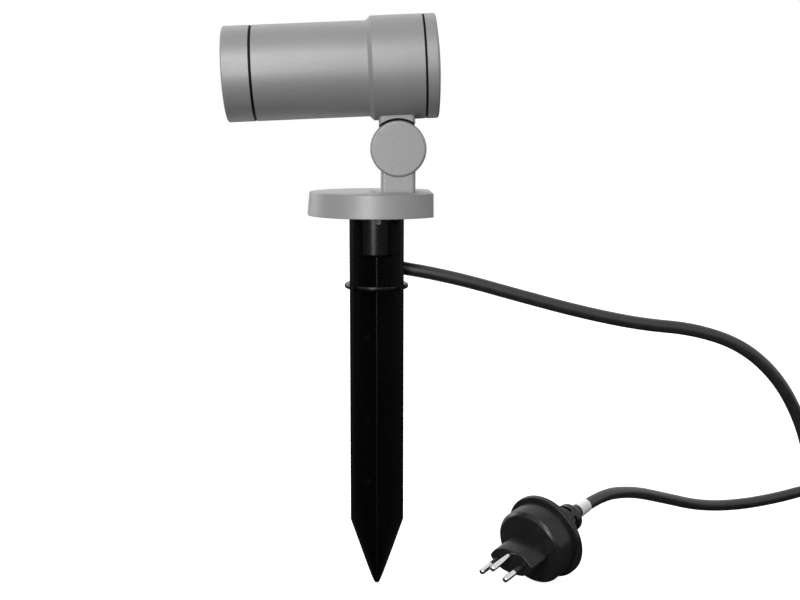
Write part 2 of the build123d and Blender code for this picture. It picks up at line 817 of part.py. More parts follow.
def least_self_gap(turns, samples=400, skip=0.4):
    """Least gap between the coil's surface and its other turns, measured on centreline points."""
    places = [turns * index / samples for index in range(samples + 1)]
    points = [coil_point(place) for place in places]
    least = math.inf
    for i in range(len(points)):
        for j in range(i + 1, len(points)):
            if places[j] - places[i] > skip:
                least = min(least, (points[j] - points[i]).length)
    return least - 2 * cord_radius


coil_volume = math.pi * cord_radius**2 * coil_wire.length
print("cord_coil length", round(coil_wire.length, 1), "volume over expected", round(cord_coil.part.volume / coil_volume, 5))
print("cord_coil ends", coil_wire @ 0, coil_wire @ 1, "least self gap", round(least_self_gap(coil_turns), 2))

# Tie around the bundle on the side of the coil away from the lamp
bundle_inner = coil_centre[0] + coil_radius - coil_pitch * (climb_start + 0.125) - cord_radius - tie_gap
bundle_outer = coil_centre[0] + coil_radius - coil_pitch * (coil_turns / 2 - 1) + cord_radius + tie_gap
bundle_low = coil_floor - cord_radius - tie_gap / 2
bundle_high = coil_floor + coil_layer + cord_radius + tie_gap
with BuildPart() as coil_tie:
    with BuildSketch(Plane((0, coil_centre[1], 0), x_dir=(1, 0, 0), z_dir=(0, -1, 0))):
        with Locations(((bundle_inner + bundle_outer) / 2, (bundle_low + bundle_high) / 2)):
            bundle_width = bundle_outer - bundle_inner
            bundle_height = bundle_high - bundle_low
            RectangleRounded(
                bundle_width + 2 * tie_thickness, bundle_height + 2 * tie_thickness, tie_corner + tie_thickness
            )
            RectangleRounded(bundle_width, bundle_height, tie_corner, mode=Mode.SUBTRACT)
    extrude(amount=tie_width / 2, both=True)

# Plug, lying on the floor on its flange and drum
azimuth = math.radians(plug_azimuth)
dip = math.radians(plug_dip)
plug_forward = Vector(-math.cos(dip) * math.cos(azimuth), -math.cos(dip) * math.sin(azimuth), -math.sin(dip))
plug_across = Vector(math.sin(azimuth), -math.cos(azimuth), 0)
plug_base = Plane(origin=plug_place, x_dir=plug_across, z_dir=plug_forward)
flange_face = plug_flange_thickness / 2
drum_face = flange_face + plug_drum_length
nose_face = drum_face + plug_nose_length
pin_places = [(-pin_pitch / 2, 0), (pin_pitch / 2, 0), (0, earth_pin_offset)]

with BuildPart() as plug_body:
    with BuildSketch(plug_base.offset(flange_face)):
        Circle(plug_drum_radius)
    extrude(amount=plug_drum_length)
    chamfer(plug_body.edges().sort_by(Axis(plug_place, plug_forward))[-1], plug_drum_edge)
    with BuildSketch(plug_base.offset(drum_face)) as nose_section:
        with BuildLine():
            Polyline(
                (-plug_nose_width / 2, 0),
                (-plug_nose_flat / 2, -plug_nose_height / 2),
                (plug_nose_flat / 2, -plug_nose_height / 2),
                (plug_nose_width / 2, 0),
                (plug_nose_flat / 2, plug_nose_height / 2),
                (-plug_nose_flat / 2, plug_nose_height / 2),
                close=True,
            )
        make_face()
        fillet(nose_section.vertices().filter_by(lambda corner: abs(corner.Y) > 1), plug_nose_corner)
    extrude(amount=plug_nose_length)
    chamfer(plug_body.faces().sort_by(Axis(plug_place, plug_forward))[-1].edges(), plug_nose_edge)
    with BuildSketch(plug_base.offset(nose_face)):
        with Locations(*pin_places):
            Circle(pin_core_radius + seat_gap)
    extrude(amount=-pin_root, mode=Mode.SUBTRACT)

with BuildPart() as plug_flange:
    with BuildSketch(plug_base.offset(-flange_face)):
        Circle(plug_flange_radius)
    extrude(amount=plug_flange_thickness)
    fillet(plug_flange.edges(), 0.8)

with BuildPart() as plug_boot:
    with BuildSketch(plug_base.offset(-flange_face)):
        Circle(boot_radius)
    with BuildSketch(plug_base.offset(-flange_face - boot_length)):
        Circle(boot_end_radius)
    loft()
    fillet(plug_boot.edges().sort_by(Axis(plug_place, plug_forward))[0], boot_end_edge)
    for row in range(boot_slot_rows):
        station = flange_face + boot_slot_first + row * boot_slot_step
        row_radius = boot_radius - (boot_radius - boot_end_radius) * (station - flange_face) / boot_length
        with BuildSketch(plug_base.offset(-station - boot_slot_width / 2)):
            Circle(row_radius + boot_slot_depth)
            Circle(row_radius - boot_slot_depth, mode=Mode.SUBTRACT)
            with PolarLocations(row_radius, boot_slots_around, start_angle=180 / boot_slots_around):
                Rectangle(3 * boot_slot_depth, boot_bridge, mode=Mode.SUBTRACT)
        extrude(amount=boot_slot_width, mode=Mode.SUBTRACT)

with BuildPart() as plug_pins:
    with BuildSketch(plug_base.offset(nose_face - pin_root)):
        with Locations(*pin_places):
            Circle(pin_core_radius)
    extrude(amount=pin_root + pin_sleeve_length)
    with BuildSketch(plug_base.offset(nose_face + pin_sleeve_length)):
        with Locations(*pin_places[:2]):
            Circle(pin_radius)
    extrude(amount=pin_length - pin_sleeve_length)
    with BuildSketch(plug_base.offset(nose_face)):
        with Locations(pin_places[2]):
            Circle(pin_radius)
    extrude(amount=pin_length)
    fillet(plug_pins.faces().sort_by(Axis(plug_place, plug_forward))[-3:].edges(), pin_radius * 0.6)

with BuildPart() as pin_sleeves:
    with BuildSketch(plug_base.offset(nose_face)):
        with Locations(*pin_places[:2]):
            Circle(pin_radius)
            Circle(pin_core_radius + seat_gap, mode=Mode.SUBTRACT)
    extrude(amount=pin_sleeve_length - seat_gap)

# Supply cord: from the gland out through the window, across, and down to the floor
supply_route = [
    (0.0, gland_shift, gland_bottom),
    (0.0, gland_shift, gland_bottom - 5.5),
    (3.0, 3.4, 216.4),
    (10.3, 4.1, 211.2),
    (20.1, 3.9, 209.1),
    (33.6, 3.2, 206.9),
    (58.7, 2.6, 201.3),
    (95.0, 2.4, 191.0),
    (134.4, 2.4, 180.5),
    (172.0, 2.4, 172.7),
    (206.6, 2.4, 169.6),
    (239.0, 3.0, 158.6),
    (264.5, 5.6, 136.6),
    (282.5, 10.0, 107.5),
    (294.0, 16.0, 76.5),
    (305.5, 24.0, 46.5),
    (323.5, 33.0, 20.5),
    coil_entry - coil_tangent(0) * 28.0,
    coil_entry,
]
# Plug lead: from the coil along the floor and up into the plug's boot
boot_end = Vector(*plug_place) - plug_forward * (flange_face + boot_length)
lead_route = [
    coil_exit,
    coil_exit + coil_tangent(coil_turns) * 30.0,
    (322.0, 142.5, 8.0),
    (287.0, 135.5, 4.6),
    (252.0, 121.5, 9.0),
    (218.0, 101.5, 22.5),
    (187.0, 77.0, 36.0),
    boot_end - plug_forward * lead_straight,
    boot_end,
]


def corner_radii(points):
    """The largest arcs that fit a route's corners: 0.45 of the shorter run over tan(half the turn)."""
    radii = []
    for before, corner, after in zip(points, points[1:], points[2:]):
        run_in = corner - before
        run_out = after - corner
        turn = math.radians(run_in.get_angle(run_out))
        radii.append(0.45 * min(run_in.length, run_out.length) / math.tan(turn / 2))
    return radii


def cord_tube(name, points):
    """A round cord along a route of straight runs and tangent arcs; prints its radii and volume."""
    points = [Vector(point) for point in points]
    radii = corner_radii(points)
    with BuildPart() as tube:
        with BuildLine() as route:
            FilletPolyline(*points, radius=radii)
        centreline = route.wires()[0]
        with BuildSketch(centreline ^ 0):
            Circle(cord_radius)
        sweep(path=centreline)
    expected = math.pi * cord_radius**2 * centreline.length
    print(name, "length", round(centreline.length, 1), "volume over expected", round(tube.part.volume / expected, 5))
    print(name, "radii", [round(radius, 1) for radius in radii])
    return tube.part


supply_cord = cord_tube("supply_cord", supply_route)
plug_lead = cord_tube("plug_lead", lead_route)

# White marking band on the plug lead
with BuildPart() as cord_band:
    with BuildSketch(plug_base.offset(-flange_face - boot_length - band_start)):
        Circle(cord_radius + seat_gap + band_thickness)
        Circle(cord_radius + seat_gap, mode=Mode.SUBTRACT)
    extrude(amount=-band_length)

pieces = {
    "ground_spike": ground_spike.part,
    "spike_adapter": spike_adapter.part,
    "spike_lock_screw": spike_lock_screw,
    "cord_gland": cord_gland.part,
    "base_plate": base_plate.part,
    "base_cover": base_cover.part,
    "base_screws": base_screws.part,
    "base_arm": base_arm.part,
    "arm_screws": arm_screws,
    "hinge_bolt": hinge_bolt.part,
    "hinge_washer": hinge_washer.part,
    "hinge_seal": hinge_seal.part,
    "head_arm": head_arm.part,
    "head_arm_screws": head_arm_screws,
    "head_casing": head_casing.part,
    "front_ring": front_ring.part,
    "front_glass": front_glass.part,
    "glass_gasket": glass_gasket.part,
    "front_seal": front_seal.part,
    "rear_cover": rear_cover.part,
    "rear_seal": rear_seal.part,
    "lamp_body": lamp_body.part,
    "lamp_lens": lamp_lens.part,
    "lamp_pins": lamp_pins.part,
    "lamp_holder": lamp_holder.part,
    "holder_bracket": holder_bracket.part,
    "bracket_screws": bracket_screws,
    "terminal_block": terminal_block.part,
    "earth_screw": earth_screw,
    "supply_cord": supply_cord,
    "cord_coil": cord_coil.part,
    "plug_lead": plug_lead,
    "coil_tie": coil_tie.part,
    "cord_band": cord_band.part,
    "plug_body": plug_body.part,
    "plug_flange": plug_flange.part,
    "plug_boot": plug_boot.part,
    "plug_pins": plug_pins.part,
    "pin_sleeves": pin_sleeves.part,
}
os.makedirs("parts", exist_ok=True)
for node, solid in pieces.items():
    solid.label = node
    export_step(solid, f"parts/{node}.step")
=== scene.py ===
import math

import bmesh
import bpy
from mathutils import Euler, Matrix, Vector


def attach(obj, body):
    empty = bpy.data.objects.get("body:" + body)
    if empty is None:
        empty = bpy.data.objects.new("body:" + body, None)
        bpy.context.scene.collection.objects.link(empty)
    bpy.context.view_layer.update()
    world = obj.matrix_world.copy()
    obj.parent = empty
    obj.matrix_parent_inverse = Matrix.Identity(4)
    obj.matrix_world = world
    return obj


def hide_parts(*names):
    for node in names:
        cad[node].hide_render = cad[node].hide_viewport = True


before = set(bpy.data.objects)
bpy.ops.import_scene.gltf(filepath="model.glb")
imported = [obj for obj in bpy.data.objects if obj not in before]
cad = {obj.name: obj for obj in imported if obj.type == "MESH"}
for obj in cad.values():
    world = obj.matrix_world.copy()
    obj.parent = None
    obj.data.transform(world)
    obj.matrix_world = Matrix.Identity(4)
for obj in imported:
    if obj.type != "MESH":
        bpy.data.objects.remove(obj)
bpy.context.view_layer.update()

# Sizes and places shared with the solid model, in metres and radians
CORD_RADIUS = 0.00425
COIL_CENTRE = Vector((0.388, 0.092, 0.0053))
COIL_RADIUS = 0.0525
COIL_PITCH = 0.0092
COIL_LAYER = 0.0092
COIL_TURNS = 2.5
COIL_CLIMB_TURNS = 0.5
PIVOT = Vector((0.01355, 0.0, 0.2857))
HEAD_TILT = math.radians(2.56)
HEAD_RISE = 0.0500
NECK_RADIUS = 0.0276
NECK_FRONT = 0.0968
NECK_REAR = 0.0884
THREAD_PITCH = 0.0030
PLUG_PLACE = Vector((0.1128, 0.0061, 0.02862))
PLUG_AZIMUTH = math.radians(44.0)
PLUG_DIP = math.radians(12.6)
FLANGE_FACE = 0.0020
DRUM_RADIUS = 0.0256
DRUM_LENGTH = 0.0165
DRUM_FACE = FLANGE_FACE + DRUM_LENGTH
NOSE_LENGTH = 0.0190
NOSE_FACE = DRUM_FACE + NOSE_LENGTH
PIN_HOLE_RADIUS = 0.0015
PIN_ROOT = 0.0050
PIN_PLACES = [(-0.0095, 0.0), (0.0095, 0.0), (0.0, 0.0050)]
FIN_HALF_THICKNESS = 0.00165
LENS_RADIUS = 0.0220
LENS_FACE = 0.0925
LENS_THICKNESS = 0.0024

# Painted shade on the seat between the arms of the knuckle, a little wider than the solid model's seat
SEAT_SHADE_RADIUS = 0.0188
LAP_MARGIN = 0.0004

# Plug shell
DRUM_SIDES = 96
DRUM_EDGE = 0.0022
DRUM_EDGE_ROUND = 0.0004
DRUM_ROUND_SEGMENTS = 2
NOSE_CORNER = Vector((0.0110, 0.0078))
NOSE_TIP = 0.0180
NOSE_CROWN = 0.0094
NOSE_SINK = 0.0010
NOSE_TIP_ROUND = 0.0022
NOSE_TIP_SEGMENTS = 4
NOSE_CORNER_ROUND = 0.0048
NOSE_CORNER_SEGMENTS = 6
NOSE_EDGE = 0.0008
NOSE_EDGE_SEGMENTS = 3
GROOVE_RADIUS = 0.0026
GROOVE_DEPTH = 0.00045
GROOVE_SIDES = 40
GROOVE_ARC_SIDES = 10
PIN_HOLE_SIDES = 24

# Thread on the neck, a ridge with four corners
THREAD_HEIGHT = 0.0008
THREAD_SINK = 0.0001
THREAD_FOOT = 0.0020
THREAD_CREST = 0.0008
THREAD_CORNERS = 4
THREAD_STEPS_PER_TURN = 72

# Lens
LENS_EDGE = 0.0003
LENS_EDGE_SEGMENTS = 2
LENS_SIDES = 96
DOME_RADIUS = 0.0026
DOME_RISE = 0.0010
DOME_SINK = 0.0002
DOME_PITCH = 0.0054
DOME_MARGIN = 0.0032
DOME_SIDES = 20
DOME_RINGS = 16

# Ejector marks
MARK_RADIUS = 0.0030
MARK_SIDES = 40
MARK_RISE = 0.00018
MARK_RIM = 0.0004
MARK_DISH = 0.0001
MARK_REACH = 0.0102
MARK_HEIGHTS = (0.0723, 0.1136, 0.1678)

# Meshes: the distance within which points are one, and the angle up to which faces are smooth
NEAR = 0.00001
SMOOTH_ANGLE = math.radians(35.0)

# Line of the cord; MIDDLE_SHARE is what a control point counts for in the middle of its own span
COIL_POINTS_PER_TURN = 16
LINE_ORDER = 3
LINE_STEPS = 8
SHEATH_STEPS = 6
MIDDLE_SHARE = 0.75

# Finishes: the range that noise is spread over, and depths of grain and turning marks in metres
NOISE_LOW = 0.3
NOISE_HIGH = 0.7
NOISE_ROUGHNESS = 0.55
GRAIN_DEPTH = 0.0001
TURNING_DEPTH = 0.00005
TURNING_SHADE = 0.82
GLASS_IOR = 1.5

# Camera fitted to the photo: metres, degrees, and millimetres for film and lens
CAMERA_PLACE = (-0.009675, -0.720589, 0.297877)
CAMERA_DIP = 8.542
CAMERA_YAW = -1.967
CAMERA_ROLL = 0.104
FILM_WIDTH = 36.0
FOCAL_LENGTH = 51.24

# Studio: metres, and strengths of what glows
FLOOR_SIZE = 8.0
FLOOR_BOUNCE = 0.06
FLOOR_ROUGHNESS = 0.9
FLOOR_TONE = 0.5
FLOOR_GLOW = 0.90
CARD_PLACE = (-0.12, 0.47, 0.001)
CARD_SIZE = (0.42, 0.70, 1.0)
CARD_GLOW = 0.90
SURROUND_LIGHT = 0.20
SURROUND_SEEN = 1.0
LIGHTS_AIM = Vector((0.0, 0.0, 0.26))


def put_down():
    """Nothing selected, object mode: the state each new piece starts from."""
    if bpy.context.object and bpy.context.object.mode != "OBJECT":
        bpy.ops.object.mode_set(mode="OBJECT")
    bpy.ops.object.select_all(action="DESELECT")


# Finishes


def grey(tone):
    return (tone,) * 3


def new_finish(name):
    """A material with its Principled shader and the place that its textures go by."""
    finish = bpy.data.materials.new(name)
    finish.use_nodes = True
    shader = finish.node_tree.nodes["Principled BSDF"]
    coords = finish.node_tree.nodes.new("ShaderNodeTexCoord")
    return finish, shader, coords.outputs["Object"]


def add_noise(finish, place, scale, detail=3.0):
    noise = finish.node_tree.nodes.new("ShaderNodeTexNoise")
    noise.inputs["Scale"].default_value = scale
    noise.inputs["Detail"].default_value = detail
    noise.inputs["Roughness"].default_value = NOISE_ROUGHNESS
    finish.node_tree.links.new(place, noise.inputs["Vector"])
    return noise.outputs["Fac"]


def add_ramp(finish, value, low, high):
    """A colour ramp between two colours."""
    ramp = finish.node_tree.nodes.new("ShaderNodeValToRGB")
    ramp.color_ramp.elements[0].position = NOISE_LOW
    ramp.color_ramp.elements[1].position = NOISE_HIGH
    ramp.color_ramp.elements[0].color = (*low, 1.0)
    ramp.color_ramp.elements[1].color = (*high, 1.0)
    finish.node_tree.links.new(value, ramp.inputs["Fac"])
    return ramp.outputs["Color"]


def add_range(finish, value, low, high):
    """Maps noise to a range of roughness."""
    span = finish.node_tree.nodes.new("ShaderNodeMapRange")
    span.inputs["From Min"].default_value = NOISE_LOW
    span.inputs["From Max"].default_value = NOISE_HIGH
    span.inputs["To Min"].default_value = low
    span.inputs["To Max"].default_value = high
    finish.node_tree.links.new(value, span.inputs["Value"])
    return span.outputs["Result"]


def add_bump(finish, shader, height, strength, distance=GRAIN_DEPTH):
    bump = finish.node_tree.nodes.new("ShaderNodeBump")
    bump.inputs["Strength"].default_value = strength
    bump.inputs["Distance"].default_value = distance
    finish.node_tree.links.new(height, bump.inputs["Height"])
    finish.node_tree.links.new(bump.outputs["Normal"], shader.inputs["Normal"])


def blend_colours(finish, mode, first, second, factor=None):
    """The first colour with the second over it, in full or as far as a factor's socket says."""
    mix = finish.node_tree.nodes.new("ShaderNodeMix")
    mix.data_type = "RGBA"
    mix.blend_type = mode
    mix.inputs["Factor"].default_value = 1.0
    if factor is not None:
        finish.node_tree.links.new(factor, mix.inputs["Factor"])
    finish.node_tree.links.new(first, mix.inputs["A"])
    finish.node_tree.links.new(second, mix.inputs["B"])
    return mix.outputs["Result"]


def seat_shade_mask(finish, place, side):
    """1 on the round seat at the pivot, on the side of the lap plane that the other arm fills: where the
    painted shade goes.
    """
    nodes, link = finish.node_tree.nodes, finish.node_tree.links.new
    from_pivot = nodes.new("ShaderNodeVectorMath")
    from_pivot.operation = "SUBTRACT"
    from_pivot.inputs[1].default_value = PIVOT
    link(place, from_pivot.inputs[0])
    apart = nodes.new("ShaderNodeSeparateXYZ")
    link(from_pivot.outputs["Vector"], apart.inputs["Vector"])
    flat = nodes.new("ShaderNodeCombineXYZ")
    link(apart.outputs["X"], flat.inputs["X"])
    link(apart.outputs["Z"], flat.inputs["Z"])
    reach = nodes.new("ShaderNodeVectorMath")
    reach.operation = "LENGTH"
    link(flat.outputs["Vector"], reach.inputs[0])
    inside = nodes.new("ShaderNodeMath")
    inside.operation = "LESS_THAN"
    inside.inputs[1].default_value = SEAT_SHADE_RADIUS
    link(reach.outputs["Value"], inside.inputs[0])
    beside = nodes.new("ShaderNodeMath")
    beside.operation = "LESS_THAN" if side < 0 else "GREATER_THAN"
    beside.inputs[1].default_value = -side * LAP_MARGIN
    link(apart.outputs["Y"], beside.inputs[0])
    both = nodes.new("ShaderNodeMath")
    both.operation = "MULTIPLY"
    link(inside.outputs["Value"], both.inputs[0])
    link(beside.outputs["Value"], both.inputs[1])
    return both.outputs["Value"]


def powder_coat(name, seat_shade_side=0):
    """Grey powder coat on cast aluminium: fine sparkle, a soft orange peel and slightly uneven sheen.

    An arm of the knuckle has its seat painted near-black, on the side of the lap that the last argument
    gives: painted shade for the gap between the arms.
    """
    finish, shader, place = new_finish(name)
    link = finish.node_tree.links.new
    sparkle = add_ramp(finish, add_noise(finish, place, scale=2600.0, detail=2.0), grey(0.27), grey(0.34))
    cloud = add_ramp(finish, add_noise(finish, place, scale=38.0, detail=4.0), grey(0.95), grey(1.0))
    coat = blend_colours(finish, "MULTIPLY", sparkle, cloud)
    if seat_shade_side:
        # Painted shade: the seat in the knuckle's gap is coloured near-black where the shadow between the
        # arms falls
        seat_shade = add_ramp(finish, add_noise(finish, place, scale=300.0), grey(0.002), grey(0.005))
        coat = blend_colours(finish, "MIX", coat, seat_shade, seat_shade_mask(finish, place, seat_shade_side))
    link(coat, shader.inputs["Base Color"])
    sheen = add_noise(finish, place, scale=900.0)
    link(add_range(finish, sheen, 0.42, 0.50), shader.inputs["Roughness"])
    shader.inputs["Metallic"].default_value = 0.20
    add_bump(finish, shader, add_noise(finish, place, scale=1500.0, detail=2.0), strength=0.18)
    return finish


def moulded_black(name, tones, roughness, gloss, grain):
    """Black moulded plastic with a fine grain and faint flow marks."""
    finish, shader, place = new_finish(name)
    shader.inputs["Specular IOR Level"].default_value = gloss
    link = finish.node_tree.links.new
    dark, light = tones
    flow = add_noise(finish, place, scale=55.0, detail=5.0)
    link(add_ramp(finish, flow, grey(dark), grey(light)), shader.inputs["Base Color"])
    sheen = add_noise(finish, place, scale=420.0, detail=4.0)
    link(add_range(finish, sheen, *roughness), shader.inputs["Roughness"])
    add_bump(finish, shader, add_noise(finish, place, scale=grain), strength=0.12)
    return finish


def rubber_sheath():
    """Matte rubber of the cord, with talc-like bloom and a fine grain."""
    finish, shader, place = new_finish("rubber_sheath")
    link = finish.node_tree.links.new
    bloom = add_noise(finish, place, scale=140.0, detail=5.0)
    link(add_ramp(finish, bloom, grey(0.012), grey(0.020)), shader.inputs["Base Color"])
    link(add_range(finish, bloom, 0.33, 0.41), shader.inputs["Roughness"])
    add_bump(finish, shader, add_noise(finish, place, scale=2200.0, detail=2.0), strength=0.2)
    return finish


def plated_metal(name, colour, roughness, grain):
    """Plated or bare metal with fine turning marks."""
    finish, shader, place = new_finish(name)
    link = finish.node_tree.links.new
    shader.inputs["Metallic"].default_value = 1.0
    marks = add_noise(finish, place, scale=grain, detail=4.0)
    darker = tuple(TURNING_SHADE * part for part in colour)
    link(add_ramp(finish, marks, darker, colour), shader.inputs["Base Color"])
    link(add_range(finish, marks, *roughness), shader.inputs["Roughness"])
    add_bump(finish, shader, marks, strength=0.08, distance=TURNING_DEPTH)
    return finish


def white_moulding(name, low, high):
    """White moulded plastic with a faint mottle."""
    finish, shader, place = new_finish(name)
    link = finish.node_tree.links.new
    tone = add_noise(finish, place, scale=90.0, detail=4.0)
    link(add_ramp(finish, tone, low, high), shader.inputs["Base Color"])
    link(add_range(finish, tone, 0.35, 0.5), shader.inputs["Roughness"])
    add_bump(finish, shader, add_noise(finish, place, scale=1200.0), strength=0.08)
    return finish


def glass(name, clearness, roughness):
    """Glass with a faint smear; a clearness below one makes it milky."""
    finish, shader, place = new_finish(name)
    link = finish.node_tree.links.new
    shader.inputs["Transmission Weight"].default_value = clearness
    shader.inputs["IOR"].default_value = GLASS_IOR
    smear = add_noise(finish, place, scale=60.0)
    link(add_ramp(finish, smear, (0.90, 0.93, 0.93), (0.96, 0.98, 0.98)), shader.inputs["Base Color"])
    link(add_range(finish, smear, *roughness), shader.inputs["Roughness"])
    return finish


def dress(finish, *names):
    """Gives solid-model pieces a finish."""
    for name in names:
        cad[name].data.materials.clear()
        cad[name].data.materials.append(finish)


GREY = powder_coat("powder_coat")
# The two arms' finishes carry painted shade on their seats in the knuckle
GREY_SEAT_SHADE_BELOW = powder_coat("powder_coat_base_arm_seat_shade", seat_shade_side=1)
GREY_SEAT_SHADE_ABOVE = powder_coat("powder_coat_head_arm_seat_shade", seat_shade_side=-1)
SPIKE_BLACK = moulded_black(
    "spike_black", tones=(0.0012, 0.0022), roughness=(0.24, 0.32), gloss=0.24, grain=1700.0
)
# The plug's black is about ten times lighter than the spike's: painted light, standing in for the
# stronger light on the plug
PLUG_BLACK = moulded_black(
    "plug_black_painted_light", tones=(0.012, 0.018), roughness=(0.24, 0.33), gloss=0.28, grain=2100.0
)
SEAL_BLACK = moulded_black(
    "seal_black", tones=(0.0015, 0.0030), roughness=(0.55, 0.7), gloss=0.10, grain=1400.0
)
SHEATH = rubber_sheath()
NICKEL = plated_metal("nickel_plate", (0.78, 0.78, 0.77), roughness=(0.06, 0.12), grain=900.0)
DULL_ZINC = plated_metal("dull_zinc", grey(0.16), roughness=(0.16, 0.26), grain=700.0)
ZINC = plated_metal("zinc_plate", grey(0.60), roughness=(0.25, 0.4), grain=700.0)
DARK_STEEL = plated_metal("dark_steel", grey(0.10), roughness=(0.35, 0.5), grain=700.0)
BRASS = plated_metal("plain_brass", (0.72, 0.55, 0.26), roughness=(0.25, 0.4), grain=700.0)
ALUMINIUM = plated_metal("bare_aluminium", grey(0.62), roughness=(0.30, 0.42), grain=800.0)
WHITE = white_moulding("white_moulding", (0.66, 0.66, 0.64), (0.76, 0.76, 0.74))
BAND_WHITE = white_moulding("band_white", (0.84, 0.84, 0.83), (0.92, 0.92, 0.91))
GLASS = glass("clear_glass", clearness=1.0, roughness=(0.02, 0.07))
LENS_GLASS = glass("milky_lens", clearness=0.35, roughness=(0.10, 0.16))
MARK_BLACK = moulded_black(
    "ejector_mark", tones=(0.0036, 0.0050), roughness=(0.20, 0.28), gloss=0.30, grain=1700.0
)

dress(GREY, "base_plate", "head_casing", "front_ring", "rear_cover")
dress(GREY_SEAT_SHADE_BELOW, "base_arm")
dress(GREY_SEAT_SHADE_ABOVE, "head_arm")
dress(SPIKE_BLACK, "ground_spike", "spike_adapter", "base_cover", "coil_tie")
dress(PLUG_BLACK, "plug_flange", "plug_boot", "pin_sleeves")
dress(SEAL_BLACK, "cord_gland", "hinge_seal", "glass_gasket", "front_seal", "rear_seal")
dress(NICKEL, "plug_pins")
dress(DULL_ZINC, "spike_lock_screw")
dress(ZINC, "arm_screws", "hinge_bolt", "hinge_washer", "head_arm_screws", "lamp_pins")
dress(ZINC, "holder_bracket", "bracket_screws")
dress(DARK_STEEL, "base_screws")
dress(BRASS, "earth_screw")
dress(WHITE, "lamp_body", "lamp_holder", "terminal_block")
dress(BAND_WHITE, "cord_band")
dress(GLASS, "front_glass")


# Modelled pieces


def near(value, target):
    return abs(value - target) < NEAR


def at_height(height):
    """A test that an edge or a face lies whole at one height."""
    return lambda element: all(near(corner.co.z, height) for corner in element.verts)


def edit(piece):
    put_down()
    piece.select_set(True)
    bpy.context.view_layer.objects.active = piece
    bpy.ops.object.mode_set(mode="EDIT")


def pick(piece, kind, test):
    """In edit mode, selects the vertices, edges or faces that pass the test."""
    bpy.ops.mesh.select_mode(type=kind)
    bpy.ops.mesh.select_all(action="DESELECT")
    mesh = bmesh.from_edit_mesh(piece.data)
    for element in {"VERT": mesh.verts, "EDGE": mesh.edges, "FACE": mesh.faces}[kind]:
        element.select_set(test(element))
    mesh.select_flush_mode()
    bmesh.update_edit_mesh(piece.data)


def combine(piece, other, operation):
    """Adds another closed piece to this one, or cuts it away, and removes the other."""
    put_down()
    bpy.context.view_layer.objects.active = piece
    step = piece.modifiers.new(operation.lower(), "BOOLEAN")
    step.operation = operation
    step.solver = "EXACT"
    step.object = other
    bpy.ops.object.modifier_apply(modifier=step.name)
    bpy.data.objects.remove(other)


def join(first, *others):
    put_down()
    for piece in (first, *others):
        piece.select_set(True)
    bpy.context.view_layer.objects.active = first
    bpy.ops.object.join()
    return first


def copies_at(piece, places):
    """Copies of a piece, each with its own mesh, joined into one; the pattern itself is removed."""
    copies = []
    for place in places:
        copy = piece.copy()
        copy.data = piece.data.copy()
        copy.data.transform(Matrix.Translation(place))
        bpy.context.scene.collection.objects.link(copy)
        copies.append(copy)
    bpy.data.objects.remove(piece)
    return join(*copies)


def finish_piece(piece, name, finish, place):
    """Merges points, turns faces outwards, smooths what is round and puts the mesh in its place."""
    edit(piece)
    bpy.ops.mesh.select_all(action="SELECT")
    bpy.ops.mesh.remove_doubles(threshold=NEAR)
    bpy.ops.mesh.normals_make_consistent(inside=False)
    bpy.ops.object.mode_set(mode="OBJECT")
    piece.matrix_world = place
    bpy.ops.object.transform_apply(location=True, rotation=True, scale=True)
    bpy.ops.object.shade_smooth_by_angle(angle=SMOOTH_ANGLE)
    piece.name = name
    piece.data.name = name
    piece.data.materials.clear()
    piece.data.materials.append(finish)
    return piece


def frame_at(place, across, along):
    """The place of a piece that was modelled upright: its X runs across and its Z runs along."""
    axes = Matrix((across, along.cross(across), along)).transposed().to_4x4()
    return Matrix.Translation(place) @ axes


def head_place():
    """The place of a piece on the head's axis, modelled with its Z towards the beam."""
    rearward = Vector((math.cos(HEAD_TILT), 0.0, math.sin(HEAD_TILT)))
    upward = Vector((-math.sin(HEAD_TILT), 0.0, math.cos(HEAD_TILT)))
    return frame_at(PIVOT + upward * HEAD_RISE, upward, -rearward)


def add_disc(radius, sides, rear, front):
    """An upright round disc between two heights."""
    put_down()
    depth = front - rear
    middle = (0.0, 0.0, rear + depth / 2)
    bpy.ops.mesh.primitive_cylinder_add(vertices=sides, radius=radius, depth=depth, location=middle)
    disc = bpy.context.object
    bpy.ops.object.transform_apply(location=True)
    return disc


def add_drum():
    """The plug's drum, with a chamfer at the front whose two corners are finely rounded."""
    drum = add_disc(DRUM_RADIUS, DRUM_SIDES, FLANGE_FACE, DRUM_FACE)
    edit(drum)
    pick(drum, "EDGE", at_height(DRUM_FACE))
    bpy.ops.mesh.bevel(offset=DRUM_EDGE, segments=1, affect="EDGES")
    for height in (DRUM_FACE, DRUM_FACE - DRUM_EDGE):
        pick(drum, "EDGE", at_height(height))
        bpy.ops.mesh.bevel(offset=DRUM_EDGE_ROUND, segments=DRUM_ROUND_SEGMENTS, affect="EDGES")
    bpy.ops.object.mode_set(mode="OBJECT")
    return drum


